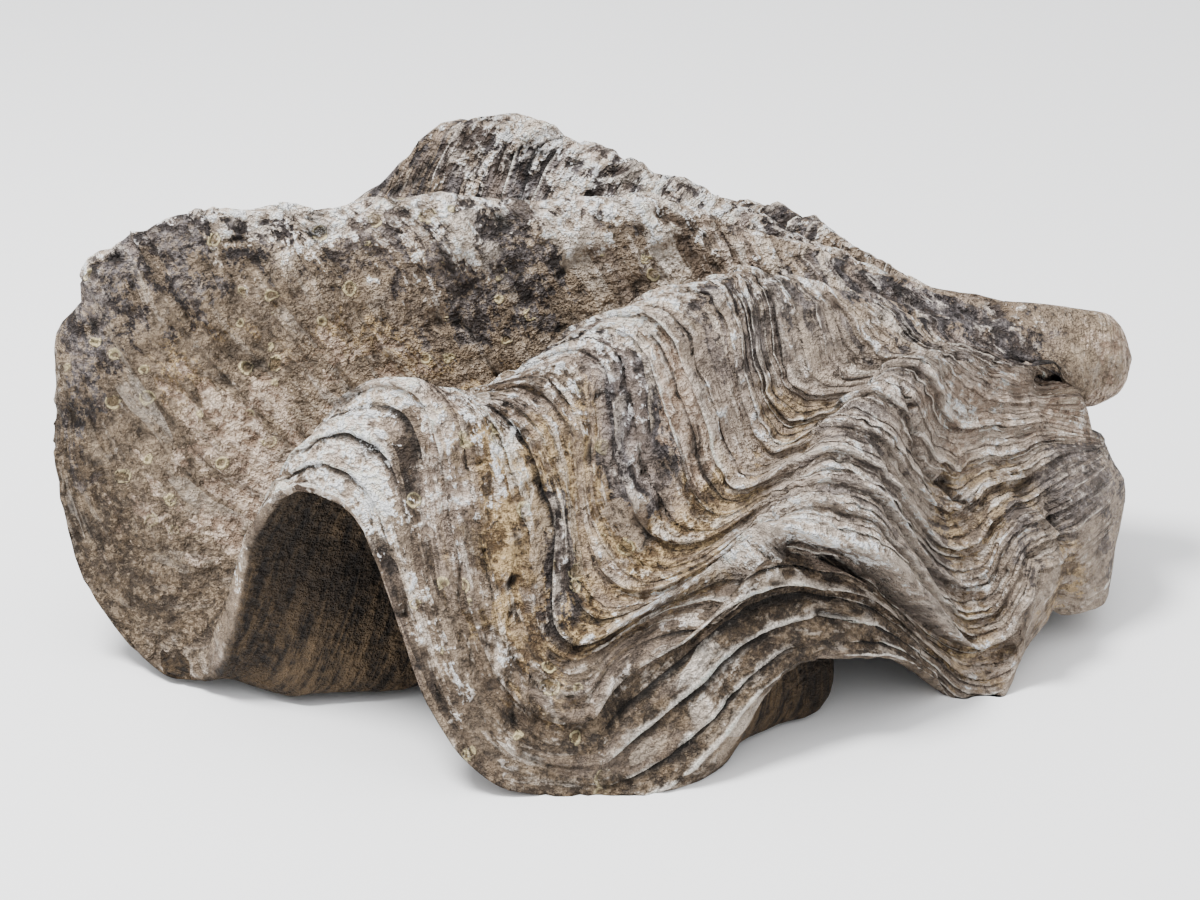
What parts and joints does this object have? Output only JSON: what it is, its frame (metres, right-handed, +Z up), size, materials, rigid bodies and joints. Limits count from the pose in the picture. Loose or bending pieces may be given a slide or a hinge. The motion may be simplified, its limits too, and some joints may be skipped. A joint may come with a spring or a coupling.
{
  "type": "fossil giant clam shell",
  "caption": "Weathered fossil giant clam valve: a broad fan of deep rounded ribs with scaly growth ledges and a smooth beak, resting open side down on its wavy edge.",
  "frame": {"origin": "centre of the footprint, on the surface that the shell rests on", "axes": "+Z up, +X from the far tips of the ribs towards the beak, +Y away from the viewer"},
  "size_m": [0.662, 0.4682, 0.2831],
  "materials": {
    "shell": "matt weathered shell, brown in the valleys and pale grey on the crests and ledges"
  },
  "bodies": {
    "root": {"shell": "shell"}
  },
  "joints": []
}
